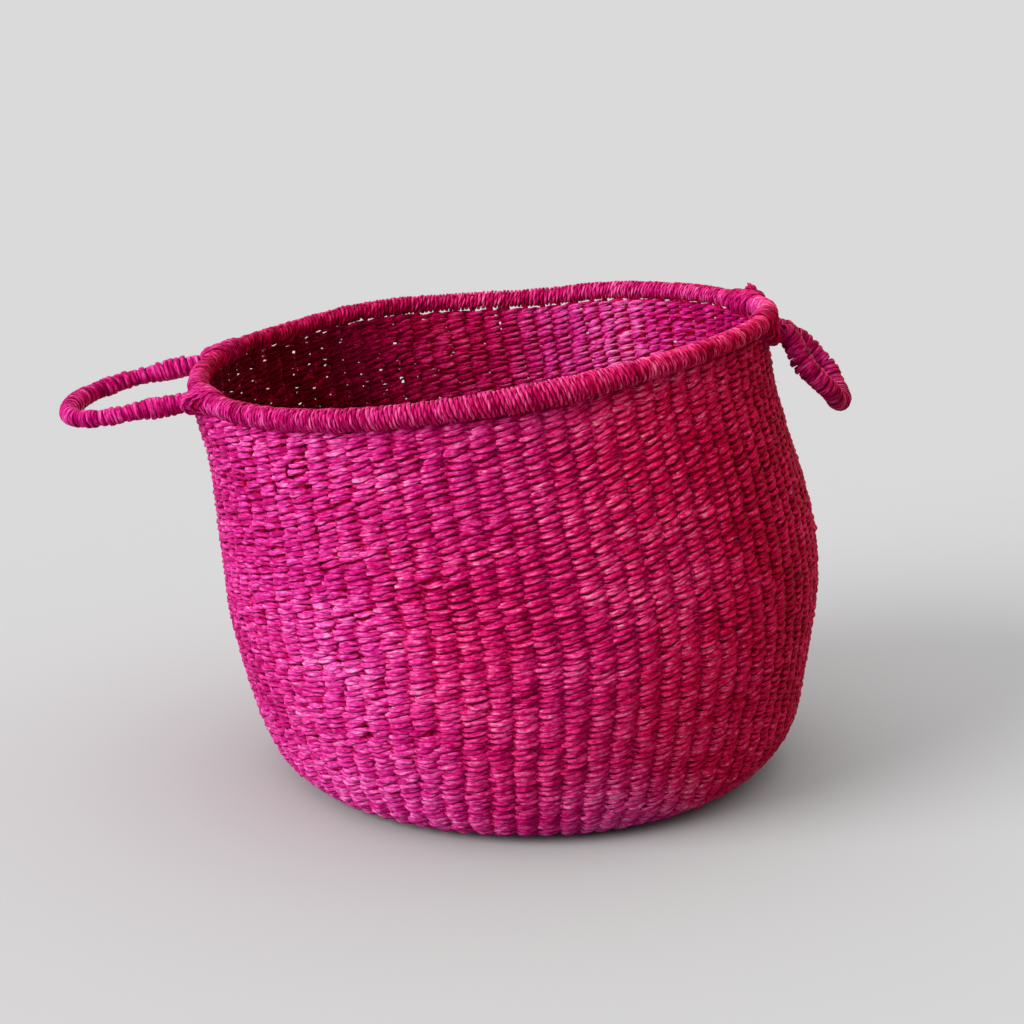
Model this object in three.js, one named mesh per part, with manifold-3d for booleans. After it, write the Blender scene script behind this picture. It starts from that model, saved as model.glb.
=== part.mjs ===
// Twined basket with a bound rim and two lashed loop handles.
// Millimetres, +Z up, +X to the right. The origin is the centre of the base, on the floor.
// Every closed skin below is a loft: rings of points, joined ring to ring.
import * as THREE from 'three';
import { mergeVertices } from 'three/addons/utils/BufferGeometryUtils.js';
import Module from 'manifold-3d';

const wasm = await Module();
wasm.setup();

// Driving dimensions of the woven body, measured on its outer face
const BASE_RADIUS = 146;        // flat part that stands on the floor
const BELLY_RADIUS = 200;
const BELLY_HEIGHT = 144;
const RIM_HEIGHT = 285;         // middle of the rim tube, on the basket's own axis
const NECK_DRAW_IN = 8.6;       // how far the wall comes in above the belly
const NECK_LENGTH = 121;        // height above the belly in which it does so
const RIM_TILT = 6.9;           // degrees, right side up
const LEAN = 30;                // how far the mouth stands left of the base
const LEAN_START = 99;          // heights between which the wall leans
const LEAN_END = 299;
const BASE_DEPTH_RATIO = 0.98;  // front-to-back size over left-to-right size
const RIM_DEPTH_RATIO = 0.87;
const MOUTH_BACK_SHIFT = 15;
const RIM_WARP = 3.9;           // the rim's two high and two low stretches
const RIM_WARP_ANGLE = -39;     // degrees

// Weave: two weft skins with the stakes between them
const WEFT_SKIN = 2.0;
const STAKE_THICKNESS = 2.8;
const STAKE_WIDTH = 3.2;
const STAKE_CLEARANCE = 0.3;
const STAKE_COUNT = 84;
const STAKE_SHAVE = 0.03;       // taken off both faces, so that no face of a stake lies in one of the hub
const START_RADIUS = 12;        // solid start of the weave, in the middle of the base
const HUB_RADIUS = 56;          // stakes are packed side by side inside this
const SLIT_HEIGHT = 4.4;        // open band between the last weft row and the rim

// Rim: a hoop outside the stakes, both bound with one close winding
const RIM_RADIUS = 8;
const HOOP_RADIUS = 3.4;
const BINDING_WALL = 1.9;
const BINDING_TURNS = 96;
const BINDING_GROOVE = 0.9;     // depth between two turns
const STAKE_TIP_DROP = 0.3;     // stake tips end this far under the middle of the rim
const STAKE_END_CLEARANCE = 0.8;

// Handles: wound hoops whose feet lie along the rim and are lashed to it
const CORE_RADIUS = 2.5;
const FOOT_LENGTH = 13.5;       // from the middle of a leg to the middle of its lashing
const FOOT_TAIL = 8;            // foot beyond the middle of its lashing
const FOOT_BEND = 7;
const WRAP_THICKNESS = 2.4;
const WRAP_WIDTH = 6.6;
const WRAP_GAP = 0.3;
const LASHING_CORD = 2.8;
const LASHING_TURNS = 3;
const LASHING_PITCH = 3.4;
const LASHING_GAP = 0.3;
const KNOT_CORD = 3.4;
const KNOT_SIZE = 5.2;

const HANDLES = {
  left: { side: -1, droop: 13, legHalf: 46, reach: 104, wrapTurns: 24 },
  right: { side: 1, droop: 43, legHalf: 40, reach: 87, wrapTurns: 20 },
};
const LOWEST_DROOP = 60;        // degrees under level, where a handle's feet meet the weave

// Fineness of the facets
const SEGMENTS = STAKE_COUNT / 2;
const LOWER_STEPS = 4;
const UPPER_STEPS = 3;
const CORE_SIDES = 6;
const HOOP_SIDES = 7;
const ARC_STEPS = 10;
const BEND_STEPS = 3;
const WRAP_STEPS = 7;
const CORD_SIDES = 5;
const RIM_ARC_STEPS = 6;
const FOOT_ARC_STEPS = 3;
const CUT_ARC_STEPS = 8;
const BINDING_POINTS = 8;
const BORE_POINTS = 8;
const KNOT_STEPS = 24;
const RIM_SAMPLES = 150;
const TUBE_SAMPLES = 24;

// Colours
const PINK = 0xc2186e;
const CRIMSON = 0xa3123f;
const DEEP = 0x8c1044;

const { cos, sin, asin, acos, hypot, PI, min, max, floor } = Math;
const rad = THREE.MathUtils.degToRad;
const vec = (x, y, z) => new THREE.Vector3(x, y, z);
const clamp01 = (x) => min(1, max(0, x));
const smooth = (x) => x * x * (3 - 2 * x);
const counted = (n, make) => Array.from({ length: n }, (_, i) => make(i));

// Shape of the woven body

const SLOT = STAKE_THICKNESS + 2 * STAKE_CLEARANCE;
const WALL = 2 * WEFT_SKIN + SLOT;
const WALL_TOP = RIM_HEIGHT - RIM_RADIUS - SLIT_HEIGHT;

// Outline of the wall: a quarter ellipse up to the belly, then the neck
function outlineBelow(angle) {
  const [wide, tall] = [BELLY_RADIUS - BASE_RADIUS, BELLY_HEIGHT];
  const length = hypot(tall * sin(angle), wide * cos(angle));
  return {
    r: BASE_RADIUS + wide * sin(angle),
    z: tall * (1 - cos(angle)),
    nr: tall * sin(angle) / length,
    nz: -wide * cos(angle) / length,
  };
}

function outlineAbove(z) {
  const turn = PI * clamp01((z - BELLY_HEIGHT) / NECK_LENGTH);
  const slope = -NECK_DRAW_IN / 2 * sin(turn) * PI / NECK_LENGTH;
  const length = hypot(1, slope);
  return { r: BELLY_RADIUS - NECK_DRAW_IN * (1 - cos(turn)) / 2, z, nr: 1 / length, nz: -slope / length };
}

const onFloor = (r) => ({ r, z: 0, nr: 0, nz: -1 });

// A point of the leaning, tilting cross-section at height z
function place(r, z, phi, lift = 0) {
  const share = z / RIM_HEIGHT;
  const tilt = rad(RIM_TILT) * share;
  const depthRatio = BASE_DEPTH_RATIO + (RIM_DEPTH_RATIO - BASE_DEPTH_RATIO) * share;
  const shift = -LEAN * smooth(clamp01((z - LEAN_START) / (LEAN_END - LEAN_START)));
  const across = r * cos(phi);
  const up = lift + RIM_WARP * share * cos(2 * (phi - rad(RIM_WARP_ANGLE)));
  return vec(
    shift + across * cos(tilt) - up * sin(tilt),
    r * depthRatio * sin(phi) + MOUTH_BACK_SHIFT * share,
    z + across * sin(tilt) + up * cos(tilt),
  );
}

// A point at some depth under the outer face
const inWall = (level, phi, depth) => place(level.r - depth * level.nr, level.z, phi, -depth * level.nz);

const phiOf = (step, count) => 2 * PI * step / count;
const wallRing = (level, depth) => counted(SEGMENTS, (i) => inWall(level, phiOf(i, SEGMENTS), depth));

const lowerLevels = counted(LOWER_STEPS + 1, (i) => outlineBelow(PI / 2 * i / LOWER_STEPS));
const upperLevels = counted(UPPER_STEPS, (i) =>
  outlineAbove(BELLY_HEIGHT + (WALL_TOP - BELLY_HEIGHT) * (i + 1) / UPPER_STEPS));
const wallLevels = [...lowerLevels, ...upperLevels];

// Meshes from rings of points

function closedGeometry(points, triangles) {
  const geometry = new THREE.BufferGeometry();
  geometry.setAttribute('position', new THREE.Float32BufferAttribute(points.flatMap((p) => p.toArray()), 3));
  geometry.setIndex(triangles.flat());
  geometry.computeVertexNormals();
  return geometry;
}

// Joins rings of equal size. Ends are closed by fans on their middle points, or the last
// ring joins the first. Rings run anticlockwise seen from where the loft is heading.
function loft(rings, { closed = false, first = null, last = null } = {}) {
  const size = rings[0].length;
  const points = rings.flat();
  const triangles = [];
  const joins = closed ? rings.length : rings.length - 1;
  for (let k = 0; k < joins; k += 1) {
    const [a, b] = [k * size, ((k + 1) % rings.length) * size];
    for (let i = 0; i < size; i += 1) {
      const j = (i + 1) % size;
      triangles.push([a + i, a + j, b + j], [a + i, b + j, b + i]);
    }
  }
  if (!closed) {
    const tail = (rings.length - 1) * size;
    points.push(first ?? average(rings[0]), last ?? average(rings.at(-1)));
    for (let i = 0; i < size; i += 1) {
      const j = (i + 1) % size;
      triangles.push([points.length - 2, j, i], [points.length - 1, tail + i, tail + j]);
    }
  }
  return closedGeometry(points, triangles);
}

const average = (ring) => ring.reduce((sum, p) => sum.add(p), vec(0, 0, 0)).divideScalar(ring.length);

function toSolid(geometry) {
  const bare = geometry.clone();
  bare.deleteAttribute('normal');
  bare.deleteAttribute('uv');
  const merged = mergeVertices(bare);
  return new wasm.Manifold(new wasm.Mesh({
    numProp: 3,
    vertProperties: new Float32Array(merged.attributes.position.array),
    triVerts: new Uint32Array(merged.index.array),
  }));
}

function fromSolid(solid) {
  const mesh = solid.getMesh();
  const geometry = new THREE.BufferGeometry();
  geometry.setAttribute('position', new THREE.Float32BufferAttribute(mesh.vertProperties, 3));
  geometry.setIndex([...mesh.triVerts]);
  geometry.computeVertexNormals();
  return geometry;
}

// Sweeps a flat section along a path. Each station has a middle, and two axes of the section.
const sweep = (stations, section, closed = false) =>
  loft(stations.map(({ middle, u, v }) => section.map(([a, b]) =>
    middle.clone().addScaledVector(u, a).addScaledVector(v, b))), { closed });

const roundSection = (width, height, sides) => counted(sides, (i) =>
  [width / 2 * cos(phiOf(i, sides)), height / 2 * sin(phiOf(i, sides))]);

// Rim frame: outward and upward directions at the rim's angle phi

const rimLevel = outlineAbove(RIM_HEIGHT);
const rimMiddle = (phi) => place(rimLevel.r, RIM_HEIGHT, phi);

function rimFrame(phi) {
  const step = 1e-4;
  const middle = rimMiddle(phi);
  const along = rimMiddle(phi + step).sub(rimMiddle(phi - step)).normalize();
  const wallway = middle.clone().sub(inWall(outlineAbove(WALL_TOP), phi, 0));
  const out = along.clone().cross(wallway).normalize();
  return { middle, along, out, up: out.clone().cross(along) };
}

const onRim = (phi, outward, upward) => {
  const { middle, out, up } = rimFrame(phi);
  return middle.clone().addScaledVector(out, outward).addScaledVector(up, upward);
};

// The hoop lies just outside the stakes
const HOOP_OUTWARD = HOOP_RADIUS + STAKE_END_CLEARANCE - (WEFT_SKIN + STAKE_CLEARANCE);

// Each handle turns about the line through the rim at its two feet, front to back
function hingeOf({ side, legHalf }) {
  const half = legHalf + FOOT_LENGTH;
  const lean = asin(half / (rimLevel.r * RIM_DEPTH_RATIO));
  const [front, back] = (side > 0 ? [-lean, lean] : [PI + lean, PI - lean]).map(rimMiddle);
  const along = back.clone().sub(front).normalize();
  return { centre: front.clone().lerp(back, 0.5), along, half: front.distanceTo(back) / 2, lean };
}

// Farthest that the rim reaches from the hinge near one foot, over a stretch along the hinge
function rimReach(handle, end, from, to) {
  const { centre, along, half, lean } = hingeOf(handle);
  const base = handle.side > 0 ? 0 : PI;
  let reach = 0;
  for (const phi of counted(RIM_SAMPLES, (i) => base + 2 * lean * (2 * i / (RIM_SAMPLES - 1) - 1))) {
    for (const angle of counted(TUBE_SAMPLES, (i) => phiOf(i, TUBE_SAMPLES))) {
      const arm = onRim(phi, RIM_RADIUS * cos(angle), RIM_RADIUS * sin(angle)).sub(centre);
      const beyond = end * arm.dot(along) - half;
      if (beyond >= from && beyond <= to) reach = max(reach, arm.cross(along).length());
    }
  }
  return reach;
}

// Where a foot lies, and the two circles that its lashing runs round: one about the rim, one
// about the foot. The corners of the faceted turns stand a little outside these circles.
const LASHING_LENGTH = LASHING_TURNS * LASHING_PITCH;

function findSeat(handle, end) {
  const clearance = LASHING_GAP + LASHING_CORD / 2;
  const rimLoop = rimReach(handle, end, -LASHING_LENGTH / 2, LASHING_LENGTH / 2) + clearance;
  const footLoop = CORE_RADIUS + clearance;
  const widest = max(...[-1, 1].map((foot) => rimReach(handle, foot, FOOT_BEND - FOOT_LENGTH, FOOT_TAIL)));
  const foot = widest + LASHING_GAP + CORE_RADIUS;
  const spread = acos((rimLoop - footLoop) / foot);
  const rimCorner = rimLoop / cos((PI - spread) / RIM_ARC_STEPS);
  const footCorner = footLoop / cos(spread / (FOOT_ARC_STEPS - 1));
  return { foot, spread, rimLoop, rimCorner, footCorner };
}

const seats = new Map(Object.values(HANDLES).map((handle) =>
  [handle.side, { front: findSeat(handle, -1), back: findSeat(handle, 1) }]));
const seatOf = ({ side }, end) => seats.get(side)[end < 0 ? 'front' : 'back'];

// Room for the lashings in the top of the weave, from the handle's place at rest to its lowest
function lashingCuts() {
  return Object.values(HANDLES).flatMap((handle) => [-1, 1].flatMap((end) => {
    const { centre, half } = hingeOf(handle);
    const { foot, spread, rimCorner, footCorner } = seatOf(handle, end);
    const width = LASHING_LENGTH + LASHING_CORD + 2 * LASHING_GAP;
    const room = LASHING_CORD / 2 + LASHING_GAP;
    const outline = new THREE.Shape();
    outline.absarc(0, 0, rimCorner + room, spread, 2 * PI - spread);
    outline.absarc(foot, 0, footCorner + room, -spread, spread);
    return [handle.droop, (handle.droop + LOWEST_DROOP) / 2, LOWEST_DROOP].map((droop) => {
      const { out, along, normal } = handleFrame({ ...handle, droop });
      const options = { depth: width, bevelEnabled: false, curveSegments: CUT_ARC_STEPS };
      const cut = new THREE.ExtrudeGeometry(outline, options);
      cut.translate(0, 0, -handle.side * end * half - width / 2);
      const depthward = along.clone().multiplyScalar(-handle.side);
      cut.applyMatrix4(new THREE.Matrix4().makeBasis(out, normal, depthward));
      return toSolid(cut.translate(...centre));
    });
  }));
}

const largest = (solid) => solid.decompose().sort((a, b) => b.volume() - a.volume())[0];

// Woven body: outer and inner weft skins, open at the top, joined at the start
function wovenBody() {
  const skin = (depth) => [onFloor(HUB_RADIUS), ...wallLevels].map((level) => wallRing(level, depth));
  const start = (depth) => wallRing(onFloor(START_RADIUS), depth);
  const [slotOut, slotIn] = [WEFT_SKIN, WEFT_SKIN + SLOT];
  const rings = [
    ...skin(0),
    ...skin(slotOut).reverse(), start(slotOut),
    start(slotIn), ...skin(slotIn),
    ...skin(WALL).reverse(),
  ];
  const body = loft(rings, { first: vec(0, 0, 0), last: vec(0, 0, WALL) });
  return fromSolid(lashingCuts().reduce((solid, cut) => solid.subtract(cut), toSolid(body)));
}

// Stakes: they cross the base from a close-packed hub, and rise through the slot into the rim
function stakeCage() {
  const [under, over] = [WEFT_SKIN + STAKE_CLEARANCE, WEFT_SKIN + STAKE_CLEARANCE + STAKE_THICKNESS];
  const root = onFloor(HUB_RADIUS - STAKE_WIDTH);
  const tip = outlineAbove(RIM_HEIGHT - STAKE_TIP_DROP);
  const levels = [root, ...wallLevels, tip];
  const depths = [under + STAKE_SHAVE, over - STAKE_SHAVE];
  const faces = levels.map((level) => depths.map((depth) => wallRing(level, depth)));
  const ringAt = (ring, at) => ring[floor(at) % SEGMENTS].clone().lerp(ring[(floor(at) + 1) % SEGMENTS], at % 1);
  const stake = (index) => {
    const at = (index + 0.5) / 2;
    const rings = faces.map(([outer, inner]) => {
      const facet = outer[floor(at) % SEGMENTS].distanceTo(outer[(floor(at) + 1) % SEGMENTS]);
      const half = STAKE_WIDTH / 2 / facet;
      return [ringAt(outer, at + half), ringAt(inner, at), ringAt(outer, at - half)];
    });
    return toSolid(loft(rings));
  };
  const hole = START_RADIUS + STAKE_CLEARANCE;
  const corners = [[hole, under], [HUB_RADIUS, under], [HUB_RADIUS, over], [hole, over]];
  const hub = loft(corners.map(([r, depth]) => wallRing(onFloor(r), depth)), { closed: true });
  const whole = wasm.Manifold.union([toSolid(hub), ...counted(STAKE_COUNT, stake)]);
  return fromSolid(largest(lashingCuts().reduce((solid, cut) => solid.subtract(cut), whole)));
}

function rimHoop() {
  const stations = counted(SEGMENTS, (i) => {
    const { middle, out, up } = rimFrame(phiOf(i, SEGMENTS));
    return { middle: middle.clone().addScaledVector(out, HOOP_OUTWARD), u: up, v: out };
  });
  return sweep(stations, roundSection(2 * HOOP_RADIUS, 2 * HOOP_RADIUS, HOOP_SIDES), true);
}

// Rim binding: close turns round the hoop and the stake ends, with a slot below for the stakes
function rimBinding() {
  const slotOuter = STAKE_END_CLEARANCE - (WEFT_SKIN + STAKE_CLEARANCE);
  const slotInner = -(WEFT_SKIN + STAKE_CLEARANCE + STAKE_THICKNESS + STAKE_END_CLEARANCE);
  const bore = RIM_RADIUS - BINDING_WALL;
  const arc = (phi, radius, to, count) => counted(count, (i) => {
    const from = -acos(slotOuter / radius);
    const angle = from + (to - from) * i / (count - 1);
    return onRim(phi, radius * cos(angle), radius * sin(angle));
  });
  const turns = counted(2 * BINDING_TURNS, (i) => {
    const radius = RIM_RADIUS - (i % 2) * BINDING_GROOVE;
    return arc(phiOf(i, 2 * BINDING_TURNS), radius, 2 * PI - acos(slotInner / radius), BINDING_POINTS);
  });
  const bores = counted(SEGMENTS, (i) => arc(phiOf(i, SEGMENTS), bore, acos(slotInner / bore), BORE_POINTS));
  const points = [...turns.flat(), ...bores.flat()];
  const triangles = [];
  const strip = (rings, size, offset, flip) => {
    for (let k = 0; k < rings; k += 1) {
      const [a, b] = [offset + k * size, offset + ((k + 1) % rings) * size];
      for (let i = 0; i + 1 < size; i += 1) {
        const quad = [[a + i, b + i + 1, a + i + 1], [a + i, b + i, b + i + 1]];
        triangles.push(...(flip ? quad : quad.map(([p, q, r]) => [p, r, q])));
      }
    }
  };
  const boreStart = turns.length * BINDING_POINTS;
  strip(turns.length, BINDING_POINTS, 0, true);
  strip(bores.length, BORE_POINTS, boreStart, false);
  // Sides of the slot: walks both edges together, whichever is behind steps on
  const side = (outerAt, innerAt, flip) => {
    let [i, j] = [0, 0];
    while (i < turns.length || j < bores.length) {
      const [p, q] = [outerAt(i), innerAt(j)];
      const outerBehind = (i + 1) / turns.length <= (j + 1) / bores.length;
      const outerNext = j === bores.length || (i < turns.length && outerBehind);
      if (outerNext) i += 1;
      else j += 1;
      const face = [p, q, outerNext ? outerAt(i) : innerAt(j)];
      triangles.push(flip ? face.reverse() : face);
    }
  };
  const turnVertex = (k) => (i) => (i % turns.length) * BINDING_POINTS + k;
  const boreVertex = (k) => (j) => boreStart + (j % bores.length) * BORE_POINTS + k;
  side(turnVertex(0), boreVertex(0), false);
  side(turnVertex(BINDING_POINTS - 1), boreVertex(BORE_POINTS - 1), true);
  return closedGeometry(points, triangles);
}

// Handle frame at the hinge: out runs from the rim to the tip of the loop
function handleFrame(handle) {
  const { centre, along, half } = hingeOf(handle);
  const level = along.clone().cross(vec(0, 0, 1)).multiplyScalar(handle.side).normalize();
  const out = level.applyAxisAngle(along, handle.side * rad(handle.droop));
  return { centre, along, half, out, normal: out.clone().cross(along).multiplyScalar(handle.side) };
}

// Middle line of the hoop as [out, along] pairs, foot to foot
function hoopLine(handle) {
  const { legHalf, reach } = handle;
  const { foot } = seatOf(handle, 1);
  const footEnd = legHalf + FOOT_LENGTH + FOOT_TAIL;
  const bend = counted(BEND_STEPS + 1, (i) => {
    const angle = PI / 2 * i / BEND_STEPS;
    return [foot + FOOT_BEND * (1 - cos(angle)), legHalf + FOOT_BEND * (1 - sin(angle))];
  });
  const bow = counted(ARC_STEPS + 1, (i) => {
    const angle = PI * i / ARC_STEPS;
    return [reach - legHalf + legHalf * sin(angle), legHalf * cos(angle)];
  });
  const mirrored = bend.map(([out, along]) => [out, -along]).reverse();
  return [[foot, footEnd], ...bend, ...bow, ...mirrored, [foot, -footEnd]];
}

// Stations along a line of [out, along] pairs, with the tangent shared at each corner
function lineStations(handle, line) {
  const { centre, out, along, normal } = handleFrame(handle);
  const middles = line.map(([a, b]) => centre.clone().addScaledVector(out, a).addScaledVector(along, b));
  const directions = middles.slice(1).map((p, i) => p.clone().sub(middles[i]).normalize());
  return middles.map((middle, i) => {
    const before = directions[max(0, i - 1)];
    const after = directions[min(directions.length - 1, i)];
    const tangent = before.clone().add(after).normalize();
    return { middle, tangent, u: normal, v: tangent.clone().cross(normal) };
  });
}

const handleCore = (handle) =>
  sweep(lineStations(handle, hoopLine(handle)), roundSection(2 * CORE_RADIUS, 2 * CORE_RADIUS, CORE_SIDES));

// Turns a list of points and outward directions into the stations of a flat strand
function strandStations(points, outwards) {
  return points.map((middle, i) => {
    const tangent = points[min(i + 1, points.length - 1)].clone().sub(points[max(0, i - 1)]).normalize();
    const side = tangent.clone().cross(outwards[i]).normalize();
    return { middle, tangent, u: side, v: side.clone().cross(tangent).negate() };
  });
}

// Adds a straight run of the given length to both ends of a strand
function withStraightEnds(points, outwards, length) {
  const head = points[0].clone().sub(points[1]).setLength(length).add(points[0]);
  const tail = points.at(-1).clone().sub(points.at(-2)).setLength(length).add(points.at(-1));
  return [[head, ...points, tail], [outwards[0], ...outwards, outwards.at(-1)]];
}

// Wrap of a handle: one strand, wound round the hoop from leg to leg
function wrapPath(handle) {
  const stations = lineStations(handle, hoopLine(handle)).slice(BEND_STEPS + 1, -(BEND_STEPS + 1));
  const lengths = [0];
  stations.slice(1).forEach((s, i) => lengths.push(lengths[i] + s.middle.distanceTo(stations[i].middle)));
  const total = lengths.at(-1);
  const margin = WRAP_WIDTH / 2 + WRAP_THICKNESS;
  const radius = (CORE_RADIUS + WRAP_GAP + WRAP_THICKNESS / 2) / cos(PI / WRAP_STEPS);
  const count = handle.wrapTurns * WRAP_STEPS;
  const outwards = [];
  const points = counted(count + 1, (i) => {
    const length = margin + (total - 2 * margin) * i / count;
    const k = max(0, lengths.findIndex((l) => l > length) - 1);
    const share = (length - lengths[k]) / (lengths[k + 1] - lengths[k]);
    const [a, b] = [stations[k], stations[k + 1]];
    const middle = a.middle.clone().lerp(b.middle, share);
    const inPlane = a.v.clone().lerp(b.v, share).normalize();
    const angle = 2 * PI * i / WRAP_STEPS;
    const outward = a.u.clone().multiplyScalar(cos(angle)).addScaledVector(inPlane, sin(angle));
    outwards.push(outward);
    return middle.addScaledVector(outward, radius);
  });
  return withStraightEnds(points, outwards, WRAP_THICKNESS);
}

const handleWrap = (handle) =>
  sweep(strandStations(...wrapPath(handle)), roundSection(WRAP_WIDTH, WRAP_THICKNESS, CORD_SIDES));

// Lashing: a winding round the rim and the handle's foot, so that it turns with the handle
function lashingPath(handle, end) {
  const { centre, half, out, along, normal } = handleFrame(handle);
  const { foot, spread, rimCorner, footCorner } = seatOf(handle, end);
  const arc = (at, radius, from, to, steps) => counted(steps + 1, (i) =>
    ({ at, radius, angle: from + (to - from) * i / steps }));
  const loop = [
    ...arc(0, rimCorner, spread, 2 * PI - spread, RIM_ARC_STEPS),
    ...arc(foot, footCorner, -spread, spread, FOOT_ARC_STEPS - 1),
  ];
  const count = LASHING_TURNS * loop.length;
  const outwards = [];
  const points = counted(count + 1, (i) => {
    const { at, radius, angle } = loop[i % loop.length];
    const outward = out.clone().multiplyScalar(cos(angle)).addScaledVector(normal, sin(angle));
    outwards.push(outward);
    return centre.clone()
      .addScaledVector(out, at)
      .addScaledVector(outward, radius)
      .addScaledVector(along, end * half + LASHING_TURNS * LASHING_PITCH * (i / count - 0.5));
  });
  return withStraightEnds(points, outwards, LASHING_CORD);
}

const lashing = (handle, end) =>
  sweep(strandStations(...lashingPath(handle, end)), roundSection(LASHING_CORD, LASHING_CORD, CORD_SIDES));

// Knot on the right handle's back lashing: a trefoil of the lashing cord
function knotPath(handle) {
  const { centre, half, out, along, normal } = handleFrame(handle);
  const away = seatOf(handle, 1).rimLoop + (LASHING_CORD + KNOT_SIZE + KNOT_CORD) / 2;
  const middle = centre.clone().addScaledVector(along, half).addScaledVector(normal, away);
  return counted(KNOT_STEPS, (i) => {
    const angle = phiOf(i, KNOT_STEPS);
    const [a, b, c] = [sin(angle) + 2 * sin(2 * angle), cos(angle) - 2 * cos(2 * angle), -sin(3 * angle)];
    return middle.clone()
      .addScaledVector(out, a * KNOT_SIZE / 2)
      .addScaledVector(along, b * KNOT_SIZE / 2)
      .addScaledVector(normal, c * KNOT_SIZE / 2);
  });
}

const knot = (handle) => {
  const points = knotPath(handle);
  const stations = points.map((middle, i) => {
    const tangent = points[(i + 1) % KNOT_STEPS].clone().sub(points.at(i - 1)).normalize();
    const side = tangent.clone().cross(handleFrame(handle).normal).normalize();
    return { middle, u: side, v: side.clone().cross(tangent).negate() };
  });
  return sweep(stations, roundSection(KNOT_CORD, KNOT_CORD, CORD_SIDES), true);
};

// Least gap of a wound strand to itself, between points of its surface half a turn or more apart
function leastGap(geometry, stationsPerTurn) {
  const { array } = geometry.attributes.position;
  const points = counted(array.length / 3 - 2, (i) => vec(array[3 * i], array[3 * i + 1], array[3 * i + 2]));
  const apart = CORD_SIDES * floor(stationsPerTurn / 2 + 1);
  let least = Infinity;
  points.forEach((p, i) => {
    for (let j = i + apart; j < points.length; j += 1) least = min(least, p.distanceTo(points[j]));
  });
  return least;
}

// Assembly

const finish = (color, roughness) => new THREE.MeshStandardMaterial({ color, roughness, metalness: 0 });
const WEAVE = finish(PINK, 0.75);
const STAKE = finish(DEEP, 0.8);
const BINDING = finish(CRIMSON, 0.7);

const basket = new THREE.Group();
function add(group, name, geometry, material) {
  const mesh = new THREE.Mesh(geometry, material);
  mesh.name = name;
  group.add(mesh);
}

add(basket, 'woven_body', wovenBody(), WEAVE);
add(basket, 'stakes', stakeCage(), STAKE);
add(basket, 'rim_hoop', rimHoop(), STAKE);
add(basket, 'rim_binding', rimBinding(), BINDING);

const millimetres = (point) => point.toArray().map((x) => x.toFixed(3)).join(', ');
const tell = (name, gap) => console.log(`${name}: least gap to itself ${gap.toFixed(2)} mm`);

for (const [name, handle] of Object.entries(HANDLES)) {
  const group = new THREE.Group();
  const wrap = handleWrap(handle);
  const front = lashing(handle, -1);
  const back = lashing(handle, 1);
  add(group, `${name}_handle_core`, handleCore(handle), STAKE);
  add(group, `${name}_handle_wrap`, wrap, BINDING);
  add(group, `${name}_front_lashing`, front, BINDING);
  add(group, `${name}_back_lashing`, back, BINDING);
  basket.add(group);
  tell(`${name}_handle_wrap`, leastGap(wrap, WRAP_STEPS));
  tell(`${name}_front_lashing`, leastGap(front, RIM_ARC_STEPS + FOOT_ARC_STEPS));
  tell(`${name}_back_lashing`, leastGap(back, RIM_ARC_STEPS + FOOT_ARC_STEPS));
  const { centre, along } = hingeOf(handle);
  console.log(`${name} hinge: point ${millimetres(centre)}, direction ${millimetres(along)}`);
}
add(basket, 'right_knot', knot(HANDLES.right), BINDING);

export default basket;
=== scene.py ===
"""The looks of a twined grass basket, strand by strand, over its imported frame.

Sizes are millimetres in the frame of the part, +Z up. They become metres when a mesh is made.
"""

import bpy
import numpy as np
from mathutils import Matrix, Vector


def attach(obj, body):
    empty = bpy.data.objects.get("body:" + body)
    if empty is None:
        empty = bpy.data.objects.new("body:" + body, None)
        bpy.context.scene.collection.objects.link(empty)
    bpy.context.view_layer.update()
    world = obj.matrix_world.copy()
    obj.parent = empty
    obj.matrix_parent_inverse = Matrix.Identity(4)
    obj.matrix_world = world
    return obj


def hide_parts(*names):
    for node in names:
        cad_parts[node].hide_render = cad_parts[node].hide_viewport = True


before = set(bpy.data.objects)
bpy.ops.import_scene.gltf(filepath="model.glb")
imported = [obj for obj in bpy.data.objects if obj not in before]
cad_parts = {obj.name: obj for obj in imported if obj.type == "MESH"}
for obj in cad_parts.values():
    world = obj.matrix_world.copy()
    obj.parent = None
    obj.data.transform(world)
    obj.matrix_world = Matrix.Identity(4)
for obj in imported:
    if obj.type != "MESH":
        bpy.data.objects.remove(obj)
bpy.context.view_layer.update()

TAU = 2 * np.pi

# Shape of the basket, as in the source of the part
BASE_RADIUS = 146
BELLY_RADIUS = 200
BELLY_HEIGHT = 144
RIM_HEIGHT = 285
NECK_DRAW_IN = 8.6
NECK_LENGTH = 121
RIM_TILT = np.radians(6.9)
LEAN = 30
LEAN_START = 99
LEAN_END = 299
BASE_DEPTH_RATIO = 0.98
RIM_DEPTH_RATIO = 0.87
MOUTH_BACK_SHIFT = 15
RIM_WARP = 3.9
RIM_WARP_ANGLE = np.radians(-39)
RIM_RADIUS = 8
SLIT_HEIGHT = 4.4
WALL_TOP = RIM_HEIGHT - RIM_RADIUS - SLIT_HEIGHT
STAKE_COUNT = 84

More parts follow.
